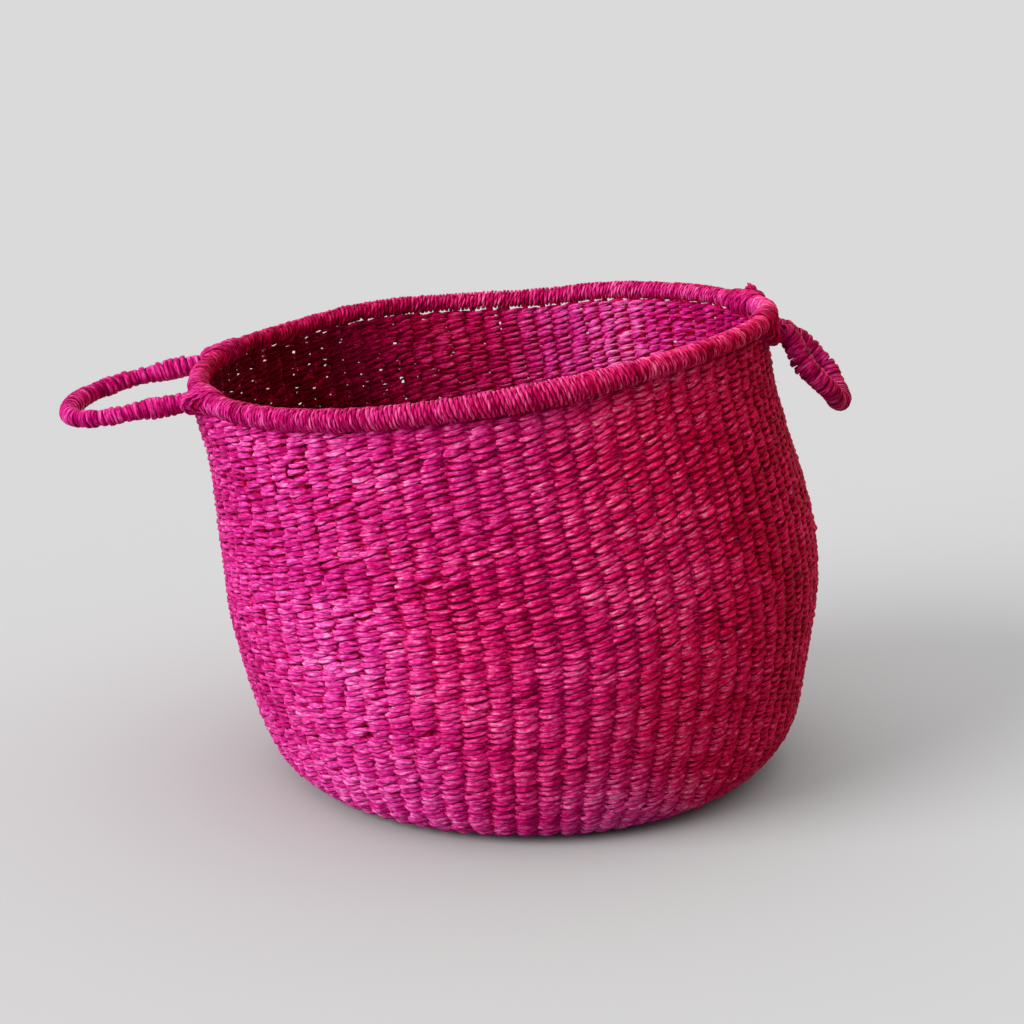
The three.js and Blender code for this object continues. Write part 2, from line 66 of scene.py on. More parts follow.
# Handmade unevenness: angle in degrees, millimetres. Angle 0 is the right side, 270 the front
RIM_TUBE = ((0, 7.2), (25, 6.4), (75, 6.7), (157, 6.5), (180, 7.5), (228, 7.6), (266, 7.9), (288, 9),
            (298, 7.6), (328, 6.6))
RIM_RISE = ((0, -1), (22, -3.8), (38, -1), (52, -0.8), (63, 0), (77, -4.8), (98, -3.4), (114, -0.6),
            (139, -3.8), (157, -1.6), (180, -1), (240, -0.8), (291, 0.6), (327, -1))
SLIT = ((0, -0.5), (60, -0.1), (72, 0.3), (112, 0.5), (126, 0.1), (150, -0.3), (180, -0.6), (330, -0.5))
ROUNDED_OFF = 6         # degrees over which such values are rounded off on each side
RISE_START = 150        # height from which the wall follows the rim up and down
# Bulges and hollows: angle in degrees, height, how far out, and half sizes in degrees and height
BULGES = ((190, 264, 5, 24, 30), (203, 55, -3, 25, 28), (188, 120, 2.5, 20, 25), (345, 28, 4.5, 36, 24),
          (262, 5, 3.8, 60, 16))
BULGE_START = 30        # length inside the edge of the base from which they grow
BASE_IN = 1.35          # how much deeper the strands of the base lie, to stand on the floor
BASE_IN_TOP = 25        # height at which this ends
DENT = 0.9              # how far the wall waves in and out
DENT_RISE = 60          # height at which the waves are full
DRIFT = 1.2             # how far the rows wave up and down
WANDER = 0.09           # how far a stake strays, in parts of the distance between stakes
WANDER_LENGTH = 55      # length up the wall for each radian of its wave
SPACING = 0.15          # how much wider the stakes stand where they are widest apart
WIDEST_AT = np.radians(215)
SPACING_START = 65      # length up the wall from which their spacing varies
SPACING_RISE = 80       # and length in which this grows to the full

# Weft: pairs of strands that twist round each other between the stakes
MIDDLE_DEPTH = 3.2      # middle of the wall, under its outer face
ROW_PITCH = 4.0
START_RADIUS = 5
TOP_ROW = 2             # how far the last row lies under the wall's top
TOP_TURNS = (14, 2)     # turns before the last between which the rows become level
STEP_SHARE = 0.07       # part of a turn in which a row steps up there
ZONES = ((0, 3, 7), (3, 7, 21), (7, 15, 42))  # turns of the spiral from, to, and stakes there
OUTER_ZONE = 15
ROWS_PER_BAND = 12
STATIONS = 6            # per stake
SWING = 2.5             # how far a strand swings in and out
SWING_POWER = 0.85      # under 1, the strand stays out longer and dives in faster
SWING_EARLY = 0.72      # under 1, it comes up fast and sinks slowly to its right end
CLIMB = 1.3             # how far it climbs and falls where the two cross
STRAND_WIDE = 2.02      # mean half width
STRAND_TAPER = 0.42     # how much narrower it is at its left end, and wider to its right
TAPER_AT = 0.12         # where it is narrowest, in parts of the distance between stakes
STRAND_THICK = 1.2      # mean half thickness
THICKER = 0.15          # how much thicker it is at crossings, and thinner between
STRAND_TWIST = 46       # length in which its two plies turn round each other
STRAND_ROLL = 15        # degrees by which it rolls over
STITCH_HALF = 0.44      # half a stitch, in parts of the distance between stakes
# How uneven stitches and rows are. What is called uneven is a standard deviation
STITCH_UNEVEN = {
    "place": 0.09, "swing": 0.06, "climb": 0.12, "height": 0.17, "width": 0.1, "roll": 10, "tone": 0.5,
}
ROW_HEIGHT_UNEVEN = 0.16
ROW_TONE_UNEVEN = 0.35
WIDTH_UNEVEN = 0.06     # from one station to the next
FACES_LEFT_STRAY = 0.7  # how much more the stitches stray where the wall faces left
FACES_LEFT_POWER = 0.1  # how much lower the power of their swing is there
PINCH = 0.7             # how much narrower a strand is beside a pinhole
GAP_CLIMB = 0.25        # how much more it climbs there
NEAR = 0.6              # length to both sides that gives the direction up the wall
OPEN_ROWS = 80          # height under the wall's top in which the weave has pinholes
HOLES_AT = np.radians(135)  # where most pinholes are, and how far to each side
HOLES_WIDE = 0.65
HOLE_LIMIT = 0.93       # there is a pinhole where its chance passes this
HOLE_CHANCE = 0.04      # how much the chance grows up to the wall's top
HOLE_CHANCE_THERE = 0.26  # and how much more where most are

# Plies of a strand, in parts of its size
PLY_SIDES = 6
PLY_APART = 0.45
PLY_WIDE = 0.58         # half width where they lie side by side
PLY_WIDER = 0.27        # and how much more where one lies over the other
PLY_THICK = 0.64
PLY_TONE = 0.6          # how much lighter the second ply is
PLY_SHIFT = 37          # how far its streaks are moved on
EDGE_SHADE = 1.2        # how much darker a ply is along its edges, as painted shade in the grooves

# Stakes, rim and handles
STAKE_HALF = (5.3, 1.3)  # half width and half thickness of a stake
STAKE_TOP = 1.9         # its half width where it leaves the weave for the rim
STAKE_STARTS = ((12, 8), (4, 17), (2, 33), (1, 63))  # every so many stakes, start at a radius
STAKE_STEP = 6.0        # from one ring of its points to the next
STAKE_PAST = 12.5       # how far a stake goes on past the wall's top, into the rim
STAKE_TONE = -2.8       # mean, dark as painted shade, since the stakes show only deep in the grooves
STAKE_TONE_UNEVEN = 0.6
# little magenta, so the stakes in the grooves look like the crimson painted shade
STAKE_MAGENTA = 0.15
BUTTON_TURNS = 3.5      # turns of the solid start in the middle of the base
BUTTON_PITCH = 1.5
BUTTON_HALF = (1.1, 2.6)  # its half width and half thickness
FILLING_IN = 2          # how far the rim's filling lies under the outside of its cord
FILLING_OUT = 0.4       # and how far it is moved out, over the stakes
TURNS = 408
RIM_STEPS = 30          # per turn
CORD_LEAN = 1.3         # how far a turn leans along the rim, to both sides
CORD_UNEVEN = (0.2, 0.24, 1.2)  # of its place along the rim, radius and tone
CORD_WIDE = 1.3         # half width and half thickness of the cord wound round the rim
CORD_THICK = 1.2
CORD_TWIST = 13
JOINTS = (291, 118)     # degrees, where one cord ends and the next starts
JOINT_GAP = 1.0         # how far the turns beside a joint are moved from it
JOINT_REACH = 5         # length in which the turns beside a joint close up again
# Handles: side, droop in degrees, half the distance between the legs, how far out from the hinge the tip and
# the foot lie, radius with the winding, and how far back, front leg and tip are raised or moved in
HANDLES = {
    "left": {"side": -1, "droop": 13, "leg_half": 46, "reach": 104, "foot": 12.6, "radius": 6.4, "raised": 0,
             "front_raised": -1.5, "front_in": 0, "tip_raised": 0},
    "right": {"side": 1, "droop": 43, "leg_half": 40, "reach": 84, "foot": 13.0, "radius": 6.9, "raised": 7,
              "front_raised": 7, "front_in": 11, "tip_raised": -4},
}
WRAP_PITCH = 4.1        # from one turn of the handles' winding to the next
WRAP_WIDE = 2.3
WRAP_THICK = 1.2
WRAP_TWIST = 90
WRAP_STEPS = 14         # per turn
WRAP_UNEVEN = (0.3, 0.5, 0.9)  # of a turn's radius, place along the hoop and tone
WRAP_LEAN = 0.8         # how far a turn leans along the hoop, to both sides
WRAP_FATTER = 1.3       # how much thicker the winding is on both legs of a loop
WRAP_FATTER_AT = (42, 24)  # length from its ends, and how far to each side
FOOT_LENGTH = 13.5
FOOT_BEND = 7
FOOT_RADIUS = 4.2       # with its winding, under the lashing
FOOT_PAST = 6           # how far the hoop goes on past its foot
# How a hoop is bent by hand: lengths beyond its feet
FRONT_IN_END = 60
RAISED_END = 40
HUMP_TOP = 9
HUMP_END = 35
TIP_START = 52
TIP_END = 70
CANE = ((0, 20, 34), (2.4, 2.6, 3.8))  # length from an end of the hoop, and radius of its cane there
# Lashings: end, turns, cord radius, and from where to where along the rim, from the bend of the leg
LASHINGS = {
    "left": ((-1, 10, 1.15, 0, 24), (1, 10, 1.15, 0, 24)),
    "right": ((-1, 10, 1.15, 2, 24), (1, 10, 1.5, -4, 26)),
}
LASH_STEPS = 60         # per turn
LASH_CLOSES_IN = 8      # length in which its turns close in on the rim, past the foot
LASH_SPAN = 0.7         # radians of the rim to both sides that lashings lie in
LASH_TONE_UNEVEN = 0.8
LASH_FILLING = 4.4      # radius of the pieces under it, between rim and foot
LASH_FILLING_TONE = -3
RIM_REACH = 175         # mean radius of the rim, to turn an angle into a length
KNOT_SIZE = 2.6
KNOT_AT = (4, 5, 7)     # out, along and up from the back end of the hinge
KNOT_CORD = 2.1
KNOT_TAIL = ((3, 6, 6), (0, 7, 7.5), (-3, 7, 8.5), (-6, 6, 9))
KNOT_TAIL_HALF = (1.9, 0.4)  # from its start to its tip
FIBRE_COUNT = 190
FIBRE_LENGTH = (4, 11)
FIBRE_HALF = (0.13, 0.28)
FIBRE_LIFT = (0.15, 0.6)  # how far its tip stands out, over its length
FIBRE_TONE = 1.6

# Camera and light
CAMERA_AT = (-0.0097, -1.680, 0.6636)  # metres
LOOKS_AT = (-0.0097, 0, 0.173)
LENS = 91
SENSOR = 36
SUN_FROM = (-0.80, -0.40, 0.45)
SUN_SIZE = np.radians(40)
SUN_STRENGTH = 3.0
SKY_LOW = 0.08
# Very large soft boxes of the sky: direction, how bright, and the cosine at which each begins
SKY = (((-0.70, -0.50, 0.50), 0.3, -0.3), ((0.1, 0.36, 0.93), 1.3, 0.1))
FLOOR_SEEN = 0.48       # tone of the floor in the picture
FLOOR_TONE = 0.3        # its tone as a surface that throws light back
FLOOR_SIZE = 60
FLOOR_DROP = 0.0006     # metres under the basket


# Smooth random fields

WAVES_JOINED = 12


def ripple(phi, along, seed, waves, rate):
    """A smooth field, about -1 to 1: up to so many waves round the basket, and a rate per millimetre."""
    source = np.random.default_rng(seed)
    total = np.zeros(np.broadcast(phi, along).shape)
    for _ in range(WAVES_JOINED):
        around = source.integers(-waves, waves + 1)
        total += np.cos(around * phi + source.normal() * rate * along + source.uniform(0, TAU))
    return total / np.sqrt(WAVES_JOINED)


def smooth(x, start=0, end=1):
    """From 0 at the start to 1 at the end, with no slope at either, and held beyond them."""
    x = np.clip((x - start) / (end - start), 0, 1)
    return x * x * (3 - 2 * x)


def uneven(table, phi):
    """A value given at some angles, rounded off between them."""
    angles, values = np.array(table, float).T
    spread = np.linspace(-ROUNDED_OFF, ROUNDED_OFF, 5)
    return np.mean([np.interp(np.degrees(phi) + d, angles, values, period=360) for d in spread], axis=0)


# The shape of the wall

FLAT_STEPS = 30
CURVE_STEPS = 200


def place(r, z, phi, lift=0.0):
    """A point of the leaning, tilting cross-section at height z."""
    share = z / RIM_HEIGHT
    tilt = RIM_TILT * share
    ratio = BASE_DEPTH_RATIO + (RIM_DEPTH_RATIO - BASE_DEPTH_RATIO) * share
    shift = -LEAN * smooth(z, LEAN_START, LEAN_END)
    across = r * np.cos(phi)
    up = lift + RIM_WARP * share * np.cos(2 * (phi - RIM_WARP_ANGLE))
    x = shift + across * np.cos(tilt) - up * np.sin(tilt)
    y = r * ratio * np.sin(phi) + MOUTH_BACK_SHIFT * share
    return np.stack(np.broadcast_arrays(x, y, z + across * np.sin(tilt) + up * np.cos(tilt)), -1)


def outline():
    """Radius, height and outward direction of the wall at steps along it, from the middle of the base."""
    flat = np.linspace(0, BASE_RADIUS, FLAT_STEPS)[:-1]
    turn = np.linspace(0, np.pi / 2, CURVE_STEPS)
    wide = BELLY_RADIUS - BASE_RADIUS
    height = np.linspace(BELLY_HEIGHT, RIM_HEIGHT + 20, CURVE_STEPS)[1:]
    bend = np.pi * np.clip((height - BELLY_HEIGHT) / NECK_LENGTH, 0, 1)
    slope = -NECK_DRAW_IN / 2 * np.sin(bend) * np.pi / NECK_LENGTH
    r = [flat, BASE_RADIUS + wide * np.sin(turn), BELLY_RADIUS - NECK_DRAW_IN * (1 - np.cos(bend)) / 2]
    z = [flat * 0, BELLY_HEIGHT * (1 - np.cos(turn)), height]
    nr = [flat * 0, BELLY_HEIGHT * np.sin(turn), np.ones_like(height)]
    nz = [flat * 0 - 1, -wide * np.cos(turn), -slope]
    r, z, nr, nz = map(np.concatenate, (r, z, nr, nz))
    length = np.concatenate([[0], np.cumsum(np.hypot(np.diff(r), np.diff(z)))])
    size = np.hypot(nr, nz)
    return length, r, z, nr / size, nz / size


PROFILE = outline()
TOP_LENGTH = np.interp(WALL_TOP, PROFILE[2][FLAT_STEPS:], PROFILE[0][FLAT_STEPS:])
LAST_TURN = round((TOP_LENGTH - TOP_ROW - START_RADIUS) / ROW_PITCH)
PITCH = (TOP_LENGTH - TOP_ROW - START_RADIUS) / LAST_TURN


def level(length):
    """Radius, height and outward direction at some lengths up the wall."""
    return [np.interp(length, PROFILE[0], column) for column in PROFILE[1:]]


def wall_rise(phi):
    """How far the wall's top follows the rim up and down."""
    return uneven(RIM_RISE, phi) + 2 * (RIM_RADIUS - uneven(RIM_TUBE, phi)) + SLIT_HEIGHT - uneven(SLIT, phi)


def bulge(z, phi):
    total = 0.0
    for angle, height, out, wide, tall in BULGES:
        beyond = phi - np.radians(angle)
        turned = np.degrees(np.arctan2(np.sin(beyond), np.cos(beyond)))
        total = total + out * np.exp(-(turned / wide) ** 2 - ((z - height) / tall) ** 2)
    return total


def wall_point(length, phi, depth):
    """The point at some length up the wall and some depth under its outer face."""
    r, z, nr, nz = level(length)
    r = r + bulge(z, phi) * smooth(length, BASE_RADIUS - BULGE_START, BASE_RADIUS)
    depth = depth + DENT * smooth(z / DENT_RISE) * ripple(phi, length, 5, 6, 0.03)
    depth = depth + BASE_IN * (1 - smooth(z / BASE_IN_TOP))
    follow = smooth(z, RISE_START, WALL_TOP)
    return place(r - depth * nr, z, phi, -depth * nz + follow * wall_rise(phi))


def turned_left(length, phi):
    """How far the wall's outer face is turned to the left, -1 to 1."""
    nr = level(length)[2]
    return -np.cos(phi) * nr


# Strands as rings of points


def unit(v):
    return v / np.linalg.norm(v, axis=-1, keepdims=True)


def towards(one, other, angle):
    """One direction turned towards another by some angle."""
    return one * np.cos(angle)[:, None] + other * np.sin(angle)[:, None]


def rings(middles, outward, half_width, half_thick, sides):
    """Sweeps a rounded section along a path. Its thickness lies along the outward direction."""
    tangent = unit(np.gradient(middles, axis=0))
    across = unit(np.cross(outward, tangent))
    outward = np.cross(tangent, across)
    angle = TAU * np.arange(sides) / sides
    wide = np.broadcast_to(half_width, len(middles))[:, None] * np.cos(angle)
    thick = np.broadcast_to(half_thick, len(middles))[:, None] * np.sin(angle)
    return middles[:, None] + across[:, None] * wide[..., None] + outward[:, None] * thick[..., None]


def lengths(middles):
    """Length along a path, at each of its points."""
    return np.concatenate([[0], np.cumsum(np.linalg.norm(np.diff(middles, axis=0), axis=1))])


def tube(middles, outward, half_width, half_thick, sides, tone, dye_and_light, start=0.0):
    """A swept strand, with its length, and its tone and its mix from crimson to magenta, mostly painted
    light, at each point.
    """
    points = rings(middles, outward, half_width, half_thick, sides)
    shape = points.shape[:2]
    column = {"tone": tone, "dye_and_light": dye_and_light}
    for key, value in column.items():
        column[key] = np.broadcast_to(np.reshape(value, (-1, 1)) if np.ndim(value) == 1 else value, shape)
    return {"points": points, "length": start + lengths(middles), **column}


def plied(middles, outward, wide, thick, twist, tone, dye_and_light, start=0.0):
    """A strand of two plies that turn slowly round each other. Wide and thick are half sizes."""
    across = unit(np.cross(outward, unit(np.gradient(middles, axis=0))))
    wide, thick = (np.broadcast_to(size, len(middles))[:, None] for size in (wide, thick))
    made = []
    for ply in (0, 1):
        angle = (TAU * (start + lengths(middles)) / twist + ply * np.pi)[:, None]
        aside = across * np.cos(angle) * wide + outward * np.sin(angle) * thick
        centre = middles + PLY_APART * aside
        shade = np.broadcast_to(tone + (ply - 0.5) * PLY_TONE, len(middles))[:, None]
        # Painted shade along the edges of each ply
        shade = shade - EDGE_SHADE * np.cos(TAU * np.arange(PLY_SIDES) / PLY_SIDES) ** 2
        halves = (wide * (PLY_WIDE + PLY_WIDER * np.sin(angle) ** 2))[:, 0], thick[:, 0] * PLY_THICK
        made.append(tube(centre, outward, *halves, PLY_SIDES, shade, dye_and_light, start + ply * PLY_SHIFT))
    return made


# Meshes

CELL_MARGIN = 0.04      # beside a ring's faces in its cell of the bake map, in parts of the cell
CAP_SIZE = 0.4          # radius of a cap in its cell


def side_faces(tube_made, first):
    """The corners of a tube's faces, and the places of these corners in its strand map."""
    count, sides = tube_made["points"].shape[:2]
    k, i = np.meshgrid(np.arange(count - 1), np.arange(sides), indexing="ij")
    here = first + k * sides
    j = (i + 1) % sides
    corners = np.stack([here + i, here + j, here + sides + j, here + sides + i], -1)
    at, onward = (tube_made["length"][part, None] + 0 * i for part in (slice(None, -1), slice(1, None)))
    low, high = i / sides, (i + 1) / sides
    strand = np.stack([at, low, at, high, onward, high, onward, low], -1)
    return k, low, high, corners, strand


def make_mesh(name, points, corners, totals, maps, attributes):
    """A smooth mesh in metres, of points in millimetres and the corners of its faces."""
    mesh = bpy.data.meshes.new(name)
    mesh.vertices.add(len(points))
    mesh.vertices.foreach_set("co", (points * 0.001).astype(np.float32).ravel())
    mesh.loops.add(len(corners))
    mesh.loops.foreach_set("vertex_index", corners.astype(np.int32))
    mesh.polygons.add(len(totals))
    mesh.polygons.foreach_set("loop_start", (np.cumsum(totals) - totals).astype(np.int32))
    for layer, values in maps.items():
        values = np.concatenate(values).astype(np.float32)
        mesh.uv_layers.new(name=layer).data.foreach_set("uv", values.ravel())
    for layer, values in attributes.items():
        attribute = mesh.attributes.new(layer, "FLOAT", "POINT")
        attribute.data.foreach_set("value", np.concatenate(values).astype(np.float32))
    mesh.update(calc_edges=True)
    mesh.polygons.foreach_set("use_smooth", np.ones(len(totals), bool))
    return mesh


def add_object(name, data):
    made = bpy.data.objects.new(name, data)
    bpy.context.scene.collection.objects.link(made)
    return made


def build(name, tubes, material, body, replaced=()):
    """Joins tubes into one piece, with the attributes that the materials read and a map to bake into.

    In the bake map every ring of a tube has a cell of its own, in rows, and the caps have the rows above.
    """
    segments = sum(len(t["points"]) - 1 for t in tubes)
    sides_most = max(t["points"].shape[1] for t in tubes)
    columns = int(np.ceil(np.sqrt(segments * sides_most)))
    strips = -(-segments // columns)
    tall = strips + -(-2 * len(tubes) // columns)
    inner = 1 - 2 * CELL_MARGIN
    points, corners, totals, strand, bake, tones, dye_and_light_values = [], [], [], [], [], [], []
    first, segment, cap = 0, 0, 0
    for t in tubes:
        count, sides = t["points"].shape[:2]
        k, low, high, side_corners, side_strand = side_faces(t, first)
        corners.append(side_corners.reshape(-1))
        totals.append(np.full(k.size, 4))
        strand.append(side_strand.reshape(-1, 2))
        row, column = np.divmod(segment + k, columns)
        bottom, top = ((row + CELL_MARGIN + inner * share) / tall for share in (low, high))
        left, right = column / columns, (column + 1) / columns
        bake.append(np.stack([left, bottom, left, top, right, top, right, bottom], -1).reshape(-1, 2))
        angle = TAU * np.arange(sides) / sides
        for ring, order in ((0, -1), (count - 1, 1)):
            corners.append((first + ring * sides + np.arange(sides))[::order])
            totals.append([sides])
            strand.append(np.stack([t["length"][ring] + np.cos(angle), 0.5 + 0.2 * np.sin(angle)], -1))
            row, column = divmod(cap, columns)
            x = (column + 0.5 + CAP_SIZE * np.cos(angle)) / columns
            bake.append(np.stack([x, (strips + row + 0.5 + CAP_SIZE * np.sin(angle)) / tall], -1))
            cap += 1
        points.append(t["points"].reshape(-1, 3))
        tones.append(t["tone"].reshape(-1))
        dye_and_light_values.append(t["dye_and_light"].reshape(-1))
        first += count * sides
        segment += count - 1
    points, corners, totals = map(np.concatenate, (points, corners, totals))
    maps = {"Strand": strand, "OFBake": bake}
    mesh = make_mesh(name, points, corners, totals, maps, {"tone": tones, "dye_and_light": dye_and_light_values})
    mesh.materials.append(material)
    made = add_object(name, mesh)
    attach(made, body)
    if replaced:
        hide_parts(*replaced)
    return made


# Materials

STREAKS_AROUND = 4.0    # how close the fibres lie round a strand, and along it per millimetre
STREAKS_ALONG = 0.12
TONE_DEPTH = 0.10       # how much a step of tone changes the shade of the dye
PATCH_DEPTH = 0.28      # how uneven the dye is from one part of a strand to the next
ROUGHER = 0.25          # how much rougher the lighter fibres are
FIBRE_RELIEF = 0.0009   # metres
SHEEN = 0.06
SHEEN_TINT = (1.0, 0.08, 0.32, 1)


def fill(tree, node, values):
    """Sets inputs of a shader node. Where a value is a socket, the two are linked."""
    for key, value in values.items():
        socket = node.inputs[key]
        if isinstance(value, bpy.types.NodeSocket):
            tree.links.new(value, socket)
        else:
            socket.default_value = value


def add(tree, kind, values=(), **settings):
    """A shader node with its settings and inputs."""
    made = tree.nodes.new("ShaderNode" + kind)
    for key, value in settings.items():
        setattr(made, key, value)
    fill(tree, made, dict(values))
    return made


def calculate(tree, operation, *values):
    return add(tree, "Math", dict(enumerate(values)), operation=operation).outputs[0]


def add_material(name):
    """A new material with its node tree and its shader."""
    material = bpy.data.materials.new(name)
    material.use_nodes = True
    return material, material.node_tree, material.node_tree.nodes["Principled BSDF"]


def ramp(tree, value, stops):
    """A colour for each value from 0 to 1."""
    made = add(tree, "ValToRGB", {0: value})
    made.color_ramp.elements.remove(made.color_ramp.elements[0])
    for n, (at, colour) in enumerate(stops):
        stop = made.color_ramp.elements[0] if n == 0 else made.color_ramp.elements.new(at)
        stop.position = at
        stop.color = (*colour, 1)
    return made.outputs[0]


def dyed_grass(name, streak_depth, roughness):
    """Dyed grass: fine streaks along the strand, a tone for each stitch, and more pink where it is painted as
    lit.
    """
    material, tree, shader = add_material(name)
    tone = add(tree, "Attribute", attribute_name="tone").outputs["Fac"]
    dye_and_light = add(tree, "Attribute", attribute_name="dye_and_light").outputs["Fac"]
    strand = add(tree, "UVMap", uv_map="Strand").outputs[0]
    split = add(tree, "SeparateXYZ", {0: strand})
    around = calculate(tree, "MULTIPLY", split.outputs[1], STREAKS_AROUND)
    along = calculate(tree, "MULTIPLY", split.outputs[0], STREAKS_ALONG)
    at = add(tree, "CombineXYZ", {0: along, 1: around, 2: tone}).outputs[0]
    fine = {"Vector": at, "Scale": 1.0, "Detail": 4.0, "Roughness": 0.62}
    streak = add(tree, "TexNoise", fine).outputs["Fac"]
    patch_at = add(tree, "CombineXYZ", {0: along, 1: tone, 2: 3.1}).outputs[0]
    patch = add(tree, "TexNoise", {"Vector": patch_at, "Scale": 1.6, "Detail": 1.0}).outputs["Fac"]
    value = calculate(tree, "MULTIPLY_ADD", tone, TONE_DEPTH, 0.5)
    for texture, depth in ((streak, streak_depth), (patch, PATCH_DEPTH)):
        centred = calculate(tree, "SUBTRACT", texture, 0.5)
        value = calculate(tree, "MULTIPLY_ADD", centred, depth, value)
    shaded_and_lit = [ramp(tree, value, stops) for stops in (SHADED_CRIMSON, LIT_MAGENTA)]
    colour = add(tree, "Mix", {0: dye_and_light, 6: shaded_and_lit[0], 7: shaded_and_lit[1]}, data_type="RGBA").outputs[2]
    rough = calculate(tree, "MULTIPLY_ADD", streak, ROUGHER, roughness - 0.12)
    raised = add(tree, "Bump", {"Height": streak, "Strength": 1.0, "Distance": FIBRE_RELIEF}).outputs[0]
    fill(tree, shader, {"Base Color": colour, "Roughness": rough, "Normal": raised})
    fill(tree, shader, {"Specular IOR Level": SHEEN, "Specular Tint": SHEEN_TINT})
    return material


# Dyes from dark to light: deep crimson as painted shade, pink magenta as painted light where it faces the
# light.
# Their palest stops, which the light fibre streaks reach, stand partly for painted highlights
SHADED_CRIMSON = ((0.0, (0.12, 0, 0.003)), (0.35, (0.48, 0, 0.022)), (0.6, (0.78, 0.003, 0.085)),
           (0.83, (0.86, 0.05, 0.19)), (1.0, (0.95, 0.22, 0.26)))
LIT_MAGENTA = ((0.0, (0.28, 0, 0.06)), (0.35, (0.56, 0.005, 0.18)), (0.6, (0.77, 0.05, 0.36)),
           (0.8, (0.90, 0.17, 0.50)), (1.0, (0.97, 0.36, 0.62)))
weft = dyed_grass("weft", streak_depth=1.8, roughness=0.45)
# The binding's deeper streaks reach the palest stops more often, as painted highlights
binding = dyed_grass("binding", streak_depth=2.6, roughness=0.4)
stalk = dyed_grass("stakes", streak_depth=0.8, roughness=0.6)
cane = dyed_grass("hoop", streak_depth=0.5, roughness=0.65)


# The weave

# How much lighter the weft is, as painted light where the light falls and painted shade where it does not,
# and at random
GROOVE_SHADE = -2.1      # painted shade where two strands cross, between two stitches, lighter where its seen side faces the light
STITCH_LIGHT_SLOPE = 3.2      # painted light at the left end of a stitch, where the light falls, over painted shade at its right end
STITCH_LIGHT_SLOPE_LESS = 2.6  # how much less that is where it faces the light
WEFT_TONE = 0.25
PATCH_TONE = 0.5        # in patches, as on the rim
LEFT_LIGHT = 0.5         # painted light outside where it faces left, towards the light, and painted shade farther to the left
FAR_LEFT_SHADE = -1.1
FAR_LEFT_FROM = 0.6
RIGHT_LIGHT = 1.2        # painted light outside on the right, and painted shade at the far right
FAR_RIGHT_SHADE = -2.4
FAR_RIGHT_FROM = 0.55
INSIDE_SHADE = -8       # inside, where it faces away from the light
INSIDE_TONE = 1.5       # inside, where it begins to face the light, and fully faces it
INSIDE_LIT_TONE = -3.9

# How far the colour goes from crimson to magenta: crimson as painted shade, magenta as painted light where it
# faces the light, with more magenta in random patches and low down
WEFT_MAGENTA = 0.47
FAR_RIGHT_CRIMSON_SHADE = -0.4
FACING_LIGHT_MAGENTA = 0.6       # where it faces the light
BASE_MAGENTA = 0.3         # low down, and the length up the wall where this ends
BASE_MAGENTA_END = 240
PATCH_MAGENTA = 0.1
INSIDE_MAGENTA = 0.15
INSIDE_LIT_MAGENTA = 0.2


def wander(u, length, stakes):
    """How far the stakes stray sideways, in radians."""
    if stakes != STAKE_COUNT:
        return 0.0
    source = np.random.default_rng(21)
    phases = source.uniform(0, TAU, stakes)
    sizes = source.uniform(0.4, 1, stakes) * WANDER * TAU / stakes
    low = np.floor(u).astype(int)
    share = u - low
    sides = [sizes[i % stakes] * np.cos(length / WANDER_LENGTH + phases[i % stakes]) for i in (low, low + 1)]
    apart = SPACING * np.sin(TAU * u / stakes - WIDEST_AT) * smooth((length - SPACING_START) / SPACING_RISE)
    return sides[0] * (1 - share) + sides[1] * share + apart


def stitches(u, what, source):
    """A random value for each stitch, with short slopes where the strand passes under its mate."""
    first, last = int(np.floor(u[0])) - 1, int(np.ceil(u[-1])) + 1
    middle = np.arange(first, last + 1)
    values = source.normal(0, STITCH_UNEVEN[what], len(middle))
    knots = np.stack([middle - STITCH_HALF, middle + STITCH_HALF], -1).ravel()
    return np.interp(u, knots, np.repeat(values, 2))


def openness(u, length, phi):
    """Pinholes in the upper wall, most at the left back: 1 where the crossing strands leave a gap."""
    stake = np.floor(u).astype(int) % STAKE_COUNT
    column = np.random.default_rng(4).uniform(0, 1, STAKE_COUNT)[stake]
    cells = np.random.default_rng(5).uniform(0, 1, (LAST_TURN + 2, STAKE_COUNT))
    cell = cells[np.floor((length - START_RADIUS) / PITCH).astype(int), stake]
    near_top = smooth(1 - (TOP_LENGTH - length) / OPEN_ROWS)
    left_back = np.exp(-((phi % TAU - HOLES_AT) / HOLES_WIDE) ** 2)
    chance = (column + cell) / 2 + near_top * (HOLE_CHANCE + HOLE_CHANCE_THERE * left_back)
    return np.where((chance > HOLE_LIMIT) & (near_top > 0), 1.0, 0.0)


def row_values(turn, seed, spread):
    """A random value for each turn of the spiral, with slopes between them."""
    whole_turns = np.arange(LAST_TURN + 2) + 0.5
    return np.interp(turn, whole_turns, np.random.default_rng(seed).normal(0, spread, LAST_TURN + 2))


